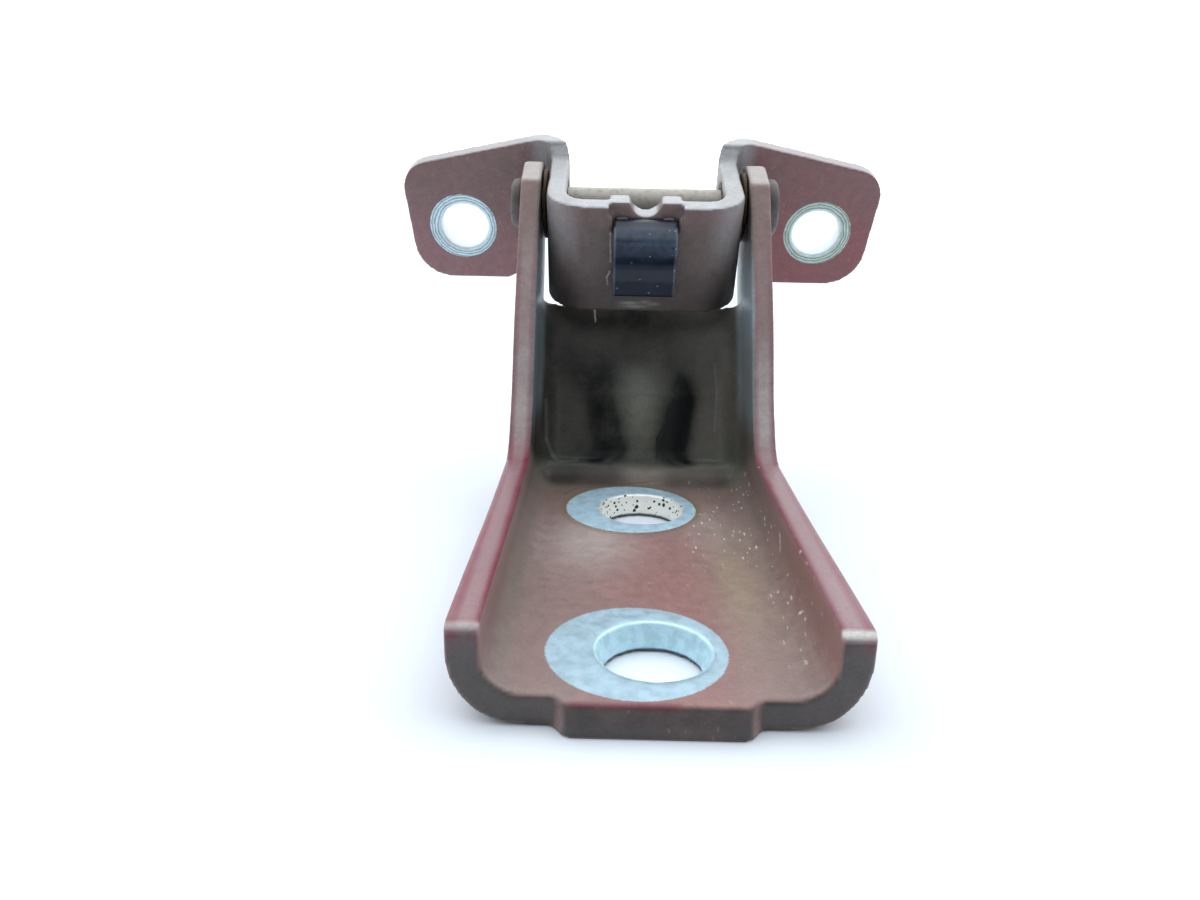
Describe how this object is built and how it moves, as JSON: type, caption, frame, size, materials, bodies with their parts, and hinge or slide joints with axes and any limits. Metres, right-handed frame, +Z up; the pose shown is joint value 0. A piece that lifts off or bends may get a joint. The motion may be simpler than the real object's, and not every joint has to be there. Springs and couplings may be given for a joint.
{
  "type": "door hinge",
  "caption": "Pressed-steel vehicle door hinge: a bolted channel-shaped body leaf and a winged door leaf that turn about a riveted pin, with a rubber buffer.",
  "frame": {"origin": "middle of the body leaf's underside, halfway between its two bolt holes", "axes": "+X along the hinge pin, +Y from the body leaf's open end to its back wall and the door leaf, +Z up from the mounting face"},
  "size_m": [0.106, 0.1272, 0.0718],
  "materials": {
    "body_paint": "satin wine-red paint over grey-brown primer, bare zinc under the washers",
    "door_paint": "satin grey-brown primer with wine-red overspray",
    "pin_steel": "satin overpainted steel",
    "bush_bronze": "matt sintered bronze",
    "buffer_rubber": "satin"
  },
  "bodies": {
    "body_side": {"body_leaf": "body_paint", "hinge_pin": "pin_steel"},
    "door_side": {"door_leaf": "door_paint", "bush_left": "bush_bronze", "bush_right": "bush_bronze", "stop_buffer": "buffer_rubber"}
  },
  "joints": [
    {"name": "door_swing", "type": "hinge", "parent": "body_side", "child": "door_side", "pos_m": [0, 0.0634, 0.0575], "axis": [1, 0, 0], "range_deg": [-60, 9]}
  ]
}
